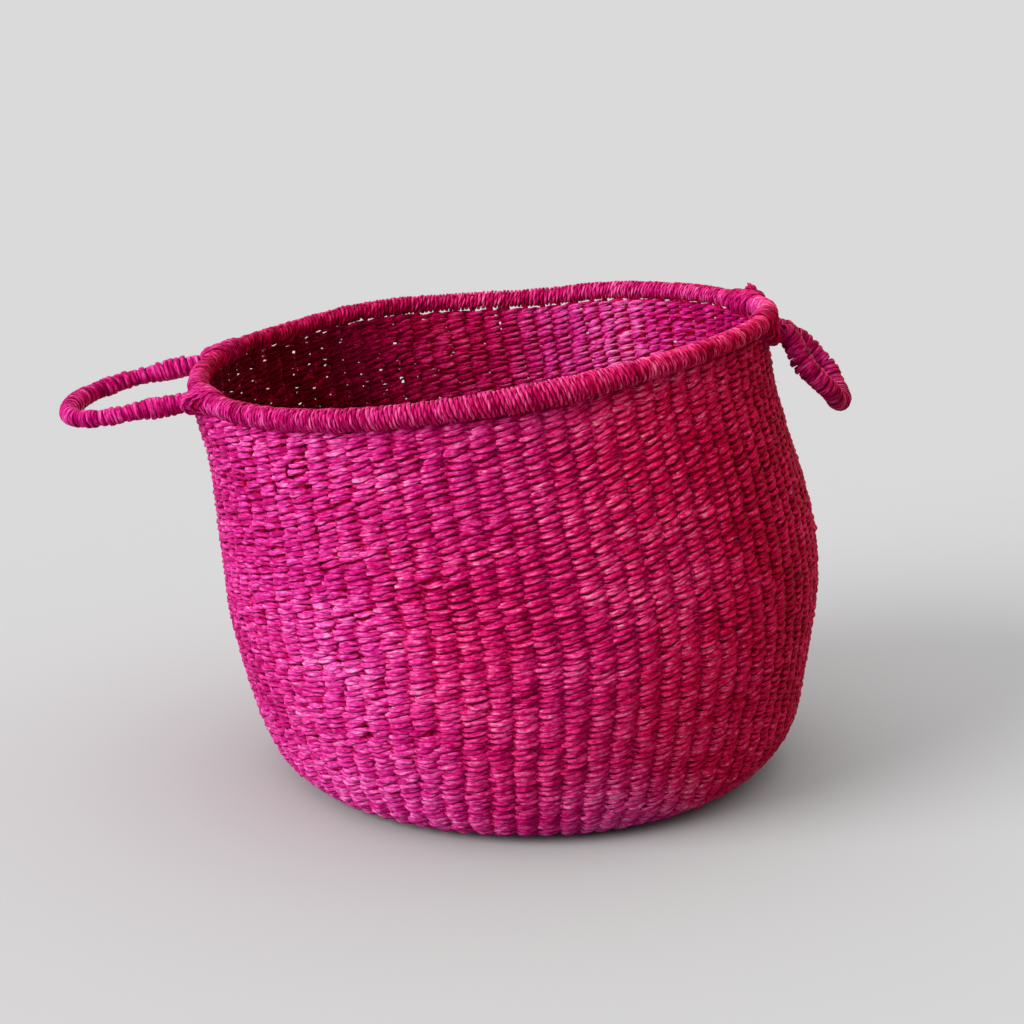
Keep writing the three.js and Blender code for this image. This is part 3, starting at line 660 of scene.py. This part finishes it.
def weft_light_and_dye(phi, base, onward, outside, crossing):
    """How much lighter a weft strand is, and how far it goes from crimson to magenta: mostly painted light
    and shade.

    Seen from outside, a stitch is painted lightest at its left end, where the light falls, and darker to its
    right. The grooves, and the inside where it faces away from the light, are painted dark, and the far right
    is painted crimson as shade. Where it faces the light it is painted magenta, with random patches and more
    magenta low down. Outside is 1 on the outer side of the wall and -1 on the inner side.
    """
    left = turned_left(base, phi)
    seen = -left * np.clip(3 * np.sin(phi), -1, 1)  # how far the seen side of a groove faces the light
    facing = np.where(crossing, 0.5 * seen - 0.1, left * outside)
    lit = smooth(2 * facing)
    inside = (outside < 0) & ~crossing
    far_left = smooth(left, FAR_LEFT_FROM)
    right = smooth(2 * np.cos(phi)) * ~inside
    far_right = smooth(np.cos(phi), FAR_RIGHT_FROM) * ~inside
    # Painted light at a stitch's left end and painted shade at its right end
    along = (STITCH_LIGHT_SLOPE - STITCH_LIGHT_SLOPE_LESS * smooth(facing)) * (0.5 - onward)
    light = WEFT_TONE + np.where(crossing, GROOVE_SHADE + smooth(seen), along)
    light = light + (LEFT_LIGHT * smooth(2 * left) + FAR_LEFT_SHADE * far_left) * ~inside
    light = light + RIGHT_LIGHT * right + FAR_RIGHT_SHADE * far_right
    light = light + INSIDE_SHADE * smooth(-0.3 - 1.6 * facing) * inside
    light = light + (INSIDE_TONE * lit + INSIDE_LIT_TONE * smooth(2.5 * facing - 1.2)) * inside
    # Crimson as painted shade at the far right, magenta as painted light where it faces the light
    dye_and_light = WEFT_MAGENTA + FAR_RIGHT_CRIMSON_SHADE * far_right + FACING_LIGHT_MAGENTA * facing
    dye_and_light = dye_and_light + BASE_MAGENTA * smooth((BASE_MAGENTA_END - base) / 90)
    dye_and_light = dye_and_light + PATCH_MAGENTA * ripple(phi, base, 31, 8, 0.03)
    return light, smooth(dye_and_light + (INSIDE_MAGENTA + INSIDE_LIT_MAGENTA * lit) * inside)


def weft_strand(turn_from, turn_to, stakes, strand):
    """The two plies of one of the two strands of the spiral, over some of its turns."""
    source = np.random.default_rng([stakes, round(turn_from * 10), strand])
    first, last = (round(turn * stakes * STATIONS) for turn in (turn_from, turn_to))
    u = np.arange(first, last + 1) / STATIONS
    turn = u / stakes
    base = START_RADIUS + PITCH * turn
    share = turn - np.floor(turn)
    step = smooth(share / STEP_SHARE) - share
    near_end = smooth(turn, *(LAST_TURN - before for before in TOP_TURNS))
    phase = np.pi * (u + strand)
    onward = (u + strand + 0.5) % 1
    over = np.sin(np.pi * onward ** SWING_EARLY)
    outside = np.where(np.cos(phase) > 0, 1.0, -1.0)
    crossing = over < 0.01
    faces_left = smooth(1.5 * turned_left(base, TAU * (u + 0.5) / stakes))
    stray = (1 + FACES_LEFT_STRAY * faces_left) * stitches(u, "place", source)
    phi = TAU * (u + 0.5 + stray) / stakes + wander(u, base, stakes)
    gap = openness(u, base, phi) * (1 - over) ** 1.5 if stakes == STAKE_COUNT else 0 * u
    power = SWING_POWER - FACES_LEFT_POWER * faces_left
    swing = SWING * (1 + stitches(u, "swing", source)) * over ** power
    depth = MIDDLE_DEPTH - swing * outside
    climb = CLIMB * (1 + GAP_CLIMB * gap) * (1 + stitches(u, "climb", source))
    strays = row_values(turn, 9, ROW_HEIGHT_UNEVEN) + stitches(u, "height", source)
    length = base + PITCH * step * near_end + climb * np.sin(phase) + strays
    inner = smooth((base - 20) / 60) * smooth((TOP_LENGTH - base) / 30)
    length = length + inner * DRIFT * ripple(phi, base, 8, 7, 0.035)
    middles = wall_point(length, phi, depth)
    ahead = wall_point(length + NEAR, phi, depth) - wall_point(length - NEAR, phi, depth)
    outward = unit(np.cross(unit(np.gradient(middles, axis=0)), ahead))
    narrowest = TAPER_AT * (1 - faces_left)
    width = STRAND_WIDE - STRAND_TAPER * np.cos(TAU * (onward - narrowest)) - PINCH * gap
    width = width * (1 + stitches(u, "width", source) + source.normal(0, WIDTH_UNEVEN, len(u)))
    thick = STRAND_THICK * (1 + THICKER * (1 - 2 * over))
    outward = towards(outward, unit(ahead), np.radians(STRAND_ROLL + stitches(u, "roll", source)))
    light, dye_and_light = weft_light_and_dye(phi, base, onward, outside, crossing)
    light = light + stitches(u, "tone", source) + row_values(turn, 14, ROW_TONE_UNEVEN)
    light = light + PATCH_TONE * ripple(phi, base, 3, 16, 0.07)
    return plied(middles, outward, width, thick, STRAND_TWIST, light, dye_and_light,
                 start=strand * 61 + int(turn[0]) * 7)


def button():
    """The solid start of the base, one thick strand in a spiral."""
    turn = np.linspace(0, BUTTON_TURNS * TAU, 90)
    radius = 0.6 + BUTTON_PITCH * turn / TAU
    middles = np.stack([radius * np.cos(turn), radius * np.sin(turn), 0 * turn + MIDDLE_DEPTH], -1)
    down = np.broadcast_to((0.0, 0.0, -1.0), middles.shape)
    return tube(middles, down, *BUTTON_HALF, 8, 0.2, 0.4)


def weave():
    """The weft in bands of rows, from the solid start in the middle of the base to the top of the wall."""
    middle = [ply for a, b, n in ZONES for strand in (0, 1) for ply in weft_strand(a, b, n, strand)]
    build("weft_base", middle + [button()], weft, "basket")
    edges = np.append(np.arange(OUTER_ZONE, LAST_TURN, ROWS_PER_BAND), LAST_TURN)
    for number, (a, b) in enumerate(zip(edges[:-1], edges[1:])):
        strands = [ply for strand in (0, 1) for ply in weft_strand(a, b, STAKE_COUNT, strand)]
        band = build(f"weft_{number + 1}", strands, weft, "basket")
    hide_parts("woven_body")


def stakes():
    """The stalks from the base to the rim. The later ones start where there is room between the others."""
    made = []
    source = np.random.default_rng(17)
    for index in range(STAKE_COUNT):
        start = next(radius for every, radius in STAKE_STARTS if index % every == 0)
        length = np.append(np.arange(start, TOP_LENGTH + 10, STAKE_STEP), TOP_LENGTH + STAKE_PAST)
        phi = TAU * (index + 0.5) / STAKE_COUNT + wander(np.full_like(length, index), length, STAKE_COUNT)
        middles = wall_point(length, phi, MIDDLE_DEPTH)
        outward = wall_point(length, phi, MIDDLE_DEPTH - 1) - middles
        tone = source.normal(STAKE_TONE, STAKE_TONE_UNEVEN)
        spread = smooth((TOP_LENGTH - 1 - length) / 9) * smooth(length / BASE_RADIUS)
        wide = (STAKE_TOP + (STAKE_HALF[0] - STAKE_TOP) * spread) * source.uniform(0.9, 1.1)
        made.append(tube(middles, unit(outward), wide, STAKE_HALF[1], 6, tone, STAKE_MAGENTA, start=index * 11))
    build("stakes_all", made, stalk, "basket", ["stakes"])


# The rim

RIM_TONE = -0.3         # mean tone of its cord
RIM_RIGHT_LIGHT = 1.4    # how much lighter it is painted at the right, and darker at the left, as painted light and shade against the light from the left


def rim_frame(phi):
    """Middle of the rim tube, and its outward and upward directions."""
    r = np.interp(RIM_HEIGHT, PROFILE[2][FLAT_STEPS:], PROFILE[1][FLAT_STEPS:])

    def middle(angle):
        lift = uneven(RIM_RISE, angle) + RIM_RADIUS - uneven(RIM_TUBE, angle)
        return place(r, RIM_HEIGHT, angle, lift)

    along = unit(middle(phi + 0.02) - middle(phi - 0.02))
    wallway = middle(phi) - wall_point(TOP_LENGTH + 0 * phi, phi, 0 * phi)
    out = unit(np.cross(along, wallway))
    return middle(phi), along, out, np.cross(out, along)


def turn_values(turn, turns, source, size):
    """A random value for each turn of a cord, with slopes between them."""
    return np.interp(turn, range(turns + 2), source.normal(0, size, turns + 2))


def rim():
    """The filling that the stakes end beside, and the cord wound round both in two lengths."""
    phi = np.linspace(0, TAU, 500)
    middle, _, out, up = rim_frame(phi)
    radius = uneven(RIM_TUBE, phi) - FILLING_IN
    filling = tube(middle + out * FILLING_OUT, up, radius, radius, 12, -1.2, 0.2)
    build("rim_filling", [filling], cane, "basket", ["rim_hoop"])
    for half in (0, 1):
        first, last = (part * TURNS // 2 * RIM_STEPS for part in (half, half + 1))
        turn = np.arange(first, last + 1) / RIM_STEPS
        phi = TAU * turn / TURNS
        angle = -TAU * turn
        radius = uneven(RIM_TUBE, phi)
        jitter, puff, tone = (turn_values(turn, TURNS, np.random.default_rng(seed), size)
                              for seed, size in zip((41, 42, 43), CORD_UNEVEN))
        lean = -CORD_LEAN * np.sin(angle)
        for joint in JOINTS:
            apart = (phi - np.radians(joint)) * RIM_REACH
            lean = lean + JOINT_GAP * np.sign(apart) * np.exp(-np.abs(apart) / JOINT_REACH)
        middle, _, out, up = rim_frame(phi + (lean + jitter) / RIM_REACH)
        outward = towards(out, up, angle)
        path = middle + outward * (radius - CORD_THICK + puff)[:, None]
        # More magenta where the cord faces left, towards the light, as painted light
        dye_and_light = smooth(0.45 - 0.35 * outward[:, 0] - 0.1 * np.cos(phi) * (np.sin(phi) < 0))
        # Painted light at the right and painted shade at the left, except at the back right
        back_right = np.exp(-((phi - 0.8) / 0.5) ** 2)
        tone = tone + RIM_TONE + RIM_RIGHT_LIGHT * np.cos(phi) * (1 - back_right)
        tone = tone + PATCH_TONE * ripple(phi, 0, 6, 20, 0)
        plies = plied(path, outward, CORD_WIDE, CORD_THICK, CORD_TWIST, tone, dye_and_light)
        build(f"rim_binding_{half + 1}", plies, binding, "basket", ["rim_binding"])


# The handles

CORD_TONE = -1.3        # mean tone of their winding and lashings, dark partly as painted shade


def hinge_of(handle):
    """The hinge's middle and direction, the handle's outward and normal axes, and half the hinge's length."""
    half = handle["leg_half"] + FOOT_LENGTH
    r = BELLY_RADIUS - NECK_DRAW_IN
    turn = np.arcsin(half / (r * RIM_DEPTH_RATIO))
    angles = (-turn, turn) if handle["side"] > 0 else (np.pi + turn, np.pi - turn)
    front, back = [place(r, RIM_HEIGHT, a) for a in angles]
    along = unit(back - front)
    flat = unit(np.cross(along, (0, 0, 1)) * handle["side"])
    droop = np.radians(handle["droop"])
    out = flat * np.cos(droop) + np.cross(along, flat) * np.sin(droop) * handle["side"]
    normal = np.cross(out, along) * handle["side"]
    return (front + back) / 2, along, out, normal, np.linalg.norm(back - front) / 2


def hoop_line(handle):
    """Middle line of the hoop from the back foot to the front foot, as out and along."""
    leg, reach, foot = handle["leg_half"], handle["reach"], handle["foot"]
    foot_end = leg + FOOT_LENGTH + FOOT_PAST
    turn = np.linspace(0, np.pi / 2, 9)
    bend = np.stack([foot + FOOT_BEND * (1 - np.cos(turn)), leg + FOOT_BEND * (1 - np.sin(turn))], -1)
    turn = np.linspace(0, np.pi, 61)
    bow = np.stack([reach - leg + leg * np.sin(turn), leg * np.cos(turn)], -1)
    points = np.concatenate([[[foot, foot_end]], bend, bow, bend[::-1] * (1, -1), [[foot, -foot_end]]])
    at = lengths(points)
    even = np.linspace(0, at[-1], int(at[-1]))
    return np.stack([np.interp(even, at, points[:, n]) for n in (0, 1)], -1), even


def on_handle(hinge, out, along, normal):
    """Points given in the handle's own axes, from the middle of its hinge."""
    middle, along_axis, out_axis, normal_axis, _ = hinge
    out, along, normal = (np.reshape(v, (-1, 1)) * np.ones((1, 3)) for v in (out, along, normal))
    return middle + out_axis * out + along_axis * along + normal_axis * normal


def bent_hoop(handle):
    """The hoop's line as bent by hand: out and along, how far it is raised, and the length at each point."""
    line, at = hoop_line(handle)
    to_back = smooth(0.5 + line[:, 1] / handle["leg_half"] / 2)
    beyond = line[:, 0] - handle["foot"]
    raised = handle["raised"] * to_back * smooth(beyond / RAISED_END)
    hump = smooth(beyond / HUMP_TOP) * (1 - smooth(beyond, HUMP_TOP, HUMP_END))
    raised = raised + handle["front_raised"] * (1 - to_back) * hump
    raised = raised + handle["tip_raised"] * smooth(beyond, TIP_START, TIP_END)
    line[:, 1] += handle["front_in"] * (1 - to_back) * (1 - smooth(beyond / FRONT_IN_END))
    return line, raised, at


def winding(handle, hinge, side):
    """One strand wound round the hoop from foot to foot, closed over its two ends, and the cane inside."""
    line, raised, at = bent_hoop(handle)
    source = np.random.default_rng(60 + handle["side"])
    turns = round(at[-1] / WRAP_PITCH)
    turn = np.arange(turns * WRAP_STEPS + 1) / WRAP_STEPS
    puff, sway, tone = (turn_values(turn, turns, source, size) for size in WRAP_UNEVEN)
    angle = TAU * turn
    near_end = np.minimum(turn, turns - turn) * WRAP_PITCH
    on_line = at[-1] * turn / turns + (WRAP_LEAN * np.sin(angle) + sway) * smooth(near_end / 9)
    out, along, normal = (np.interp(on_line, at, values) for values in (line[:, 0], line[:, 1], raised))
    middles = on_handle(hinge, out, along, normal)
    hoop = on_handle(hinge, line[:, 0], line[:, 1], raised)
    straight = np.gradient(hoop, axis=0)
    tangent = unit(np.stack([np.interp(on_line, at, straight[:, n]) for n in range(3)], -1))
    aside = unit(np.cross(tangent, hinge[3]))
    outward = towards(np.cross(aside, tangent), aside, angle)
    on_foot = 1 - smooth((near_end - FOOT_LENGTH) / 12)
    full = handle["radius"] + 0.45 * ripple(0, on_line, 12, 0, 0.09) + puff * (1 - on_foot)
    full = full + WRAP_FATTER * (1 - smooth(np.abs(near_end - WRAP_FATTER_AT[0]) / WRAP_FATTER_AT[1]))
    radius = (full + (FOOT_RADIUS - handle["radius"]) * on_foot) * np.sqrt(np.clip(near_end / 6, 0.01, 1))
    path = middles + outward * np.maximum(radius - WRAP_THICK, 0.4)[:, None]
    # More magenta where the winding faces left, towards the light, and on the left handle: painted light
    dye_and_light = smooth(0.6 - 0.3 * outward[:, 0] - 0.1 * handle["side"])
    body = f"{side}_handle"
    plies = plied(path, outward, WRAP_WIDE, WRAP_THICK, WRAP_TWIST, tone + CORD_TONE, dye_and_light)
    build(f"{side}_winding", plies, binding, body, [f"{side}_handle_wrap"])
    core = hoop[2:-2]
    thick = np.interp(np.arange(len(core)), *CANE)
    thick = np.minimum(thick, thick[::-1])
    core = tube(core, np.broadcast_to(hinge[3], core.shape), thick, thick, 10, -0.6, 0.3)
    build(f"{side}_core", [core], cane, body, [f"{side}_handle_core"])


def round_both(angle, rim_radius, foot_radius, apart):
    """Outline round rim and foot together, at some angles about the rim: out, normal and outward angle."""
    off_axis = np.abs((angle + np.pi) % TAU - np.pi)
    side = np.sign((angle + np.pi) % TAU - np.pi)
    joined = apart > rim_radius - foot_radius
    spread = np.arccos(np.clip((rim_radius - foot_radius) / np.maximum(apart, 0.1), -1, 1))
    foot_end = np.arctan2(foot_radius * np.sin(spread), apart + foot_radius * np.cos(spread))
    straight = rim_radius / np.cos(np.minimum(np.abs(off_axis - spread), 1.4))
    aside = apart * np.sin(off_axis)
    bow = apart * np.cos(off_axis) + np.sqrt(np.maximum(foot_radius ** 2 - aside ** 2, 0))
    on_foot = joined & (off_axis < foot_end)
    between = joined & ~on_foot & (off_axis < spread)
    reach = np.where(on_foot, bow, np.where(between, straight, rim_radius))
    x, y = reach * np.cos(off_axis), reach * np.sin(off_axis)
    turned = np.where(on_foot, np.arctan2(y, x - apart), np.where(between, spread, off_axis))
    return x, y * side, turned * side


def lashing(handle, hinge, side, end, turns, cord, start, stop):
    """Close turns round the rim and the handle's foot, that close in over the end of the foot."""
    middle, along_axis, out_axis, normal_axis, _ = hinge
    turn = np.arange(turns * LASH_STEPS + 1) / LASH_STEPS
    beyond = start + (stop - start) * turn / turns
    phi = np.linspace(-1, 1, 400) * LASH_SPAN + (0 if handle["side"] > 0 else np.pi)
    rim_at = rim_frame(phi)[0] - middle
    order = np.argsort(rim_at @ along_axis)
    shift = handle["front_in"] if end < 0 else 0
    wanted = end * (handle["leg_half"] + beyond) + shift
    rim_out, rim_up, rim_phi = (np.interp(wanted, (rim_at @ along_axis)[order], values[order])
                                for values in (rim_at @ out_axis, rim_at @ normal_axis, phi))
    closing = smooth((beyond - FOOT_LENGTH - 2) / LASH_CLOSES_IN)
    puff = 1 - smooth(np.abs(2 * turn / turns - 1), 0.5)
    foot_radius = (FOOT_RADIUS + cord) * (1 - 0.5 * closing)
    apart = np.hypot(handle["foot"] - rim_out, rim_up) * (1 - 0.7 * closing)
    lean = np.arctan2(-rim_up, handle["foot"] - rim_out)
    angle = TAU * turn
    rim_radius = uneven(RIM_TUBE, rim_phi) + 0.3 * cord + 0.5 * puff
    x, y, turned = round_both(angle, rim_radius, foot_radius, apart)
    out = rim_out + x * np.cos(lean) - y * np.sin(lean)
    up = rim_up + x * np.sin(lean) + y * np.cos(lean)
    path = on_handle(hinge, out, wanted, up)
    outward = towards(out_axis, normal_axis, turned + lean)
    name = {1: "back", -1: "front"}[end]
    # More magenta where the lashing faces left, towards the light, and on the left handle: painted light
    dye_and_light = smooth(0.5 - 0.3 * outward[:, 0] - 0.1 * handle["side"])
    source = np.random.default_rng(90 + end)
    tone = source.normal(CORD_TONE, LASH_TONE_UNEVEN, turns + 1)[turn.astype(int)]
    plies = plied(path, outward, cord * 1.2, cord, CORD_TWIST, tone, dye_and_light)
    share = 0.6 * (1 - closing)
    filling_out = rim_out + share * (handle["foot"] - rim_out)
    middles = on_handle(hinge, filling_out, wanted, rim_up * (1 - share))[::LASH_STEPS]
    facing = np.broadcast_to(normal_axis, middles.shape)
    plies.append(tube(middles, facing, LASH_FILLING, LASH_FILLING, 10, LASH_FILLING_TONE, 0.3))
    build(f"{side}_{name}_lash", plies, binding, f"{side}_handle", [f"{side}_{name}_lashing"])


def knot(handle, hinge):
    """A knot on the right handle's back lashing, with a short pointed tail."""
    turn = np.linspace(0, TAU, 97)
    out = KNOT_AT[0] + KNOT_SIZE * (np.sin(turn) + 2 * np.sin(2 * turn))
    along = KNOT_AT[1] + KNOT_SIZE * (np.cos(turn) - 2 * np.cos(2 * turn))
    up = KNOT_AT[2] - KNOT_SIZE * 0.9 * np.sin(3 * turn)
    path = on_handle(hinge, out, hinge[4] + along, up)
    outward = np.broadcast_to(hinge[3], path.shape)
    loop = plied(path, outward, KNOT_CORD, KNOT_CORD, CORD_TWIST, -1.4, 0.6)
    share = np.linspace(0, len(KNOT_TAIL) - 1, 25)
    out, along, up = (np.interp(share, range(len(KNOT_TAIL)), values) for values in zip(*KNOT_TAIL))
    tail = on_handle(hinge, out, hinge[4] + along, up)
    thin = np.linspace(*KNOT_TAIL_HALF, 25)
    loop.append(tube(tail, np.broadcast_to(hinge[3], tail.shape), thin, thin, 7, 0.3, 0.3))
    build("right_knot_cord", loop, binding, "right_handle", ["right_knot"])


def handles():
    """Each handle with its two lashings, and the knot on the right one."""
    for side, handle in HANDLES.items():
        hinge = hinge_of(handle)
        winding(handle, hinge, side)
        for settings in LASHINGS[side]:
            lashing(handle, hinge, side, *settings)
    knot(HANDLES["right"], hinge_of(HANDLES["right"]))


# Loose fibres


def fibres():
    """Short stray fibres that stand out of the weave."""
    source = np.random.default_rng(77)
    made = []
    for _ in range(FIBRE_COUNT):
        length, phi = source.uniform(BASE_RADIUS + 50, TOP_LENGTH), source.uniform(0, TAU)
        size = source.uniform(*FIBRE_LENGTH)
        share = np.linspace(0, 1, 7)
        slant = source.normal(0, 1)
        lift = source.uniform(*FIBRE_LIFT) * size
        angle = phi + share * size * np.cos(slant) / BELLY_RADIUS
        middles = wall_point(length + share * size * np.sin(slant) * 0.6, angle, 0.6 - lift * share ** 1.6)
        outward = unit(wall_point(length, angle, -1) - wall_point(length, angle, 0))
        thin = source.uniform(*FIBRE_HALF) * (1.05 - share)
        made.append(tube(middles, outward, thin, thin, 4, source.normal(FIBRE_TONE, 0.7), 0.6))
    build("loose_fibres", made, weft, "basket")


# Camera, floor and light


def add_camera():
    camera = add_object("camera", bpy.data.cameras.new("camera"))
    camera.location = CAMERA_AT
    camera.rotation_euler = (Vector(LOOKS_AT) - Vector(CAMERA_AT)).to_track_quat("-Z", "Y").to_euler()
    camera.data.lens = LENS
    camera.data.sensor_width = SENSOR
    camera.data.dof.use_dof = False
    bpy.context.scene.camera = camera
    return camera


def add_sun():
    sun = add_object("sun", bpy.data.lights.new("sun", "SUN"))
    sun.rotation_euler = Vector(SUN_FROM).to_track_quat("Z", "Y").to_euler()
    sun.data.energy = SUN_STRENGTH
    sun.data.angle = SUN_SIZE
    return sun


def add_sky():
    """White light from all round, and more from the soft boxes."""
    world = bpy.data.worlds.new("studio")
    world.use_nodes = True
    tree = world.node_tree
    direction = add(tree, "TexCoord").outputs["Generated"]
    strength = SKY_LOW
    for box, most, begin in SKY:
        facing = add(tree, "VectorMath", {0: direction, 1: box}, operation="DOT_PRODUCT").outputs["Value"]
        soft = {"Value": facing, "From Min": begin, "From Max": 1.0, "To Min": 0.0, "To Max": most}
        soft = add(tree, "MapRange", soft, interpolation_type="SMOOTHSTEP").outputs[0]
        strength = calculate(tree, "ADD", soft, strength)
    fill(tree, tree.nodes["Background"], {"Color": (1, 1, 1, 1), "Strength": strength})
    bpy.context.scene.world = world


def add_floor():
    """A plain pale floor, darker as a surface that throws light back than in the picture."""
    bpy.ops.mesh.primitive_plane_add(size=FLOOR_SIZE, location=(0, 0, -FLOOR_DROP))
    floor = bpy.context.object
    floor.name = "floor"
    paper, tree, shader = add_material("floor")
    seen = add(tree, "LightPath").outputs["Is Camera Ray"]
    grey = add(tree, "MapRange", {"Value": seen, "To Min": FLOOR_TONE, "To Max": FLOOR_SEEN}).outputs[0]
    fill(tree, shader, {"Base Color": grey, "Roughness": 1, "Specular IOR Level": 0})
    floor.data.materials.append(paper)
    return floor


weave()
stakes()
rim()
handles()
fibres()
bpy.context.scene.view_settings.view_transform = "Standard"
camera = add_camera()
sun = add_sun()
add_sky()
add_floor()
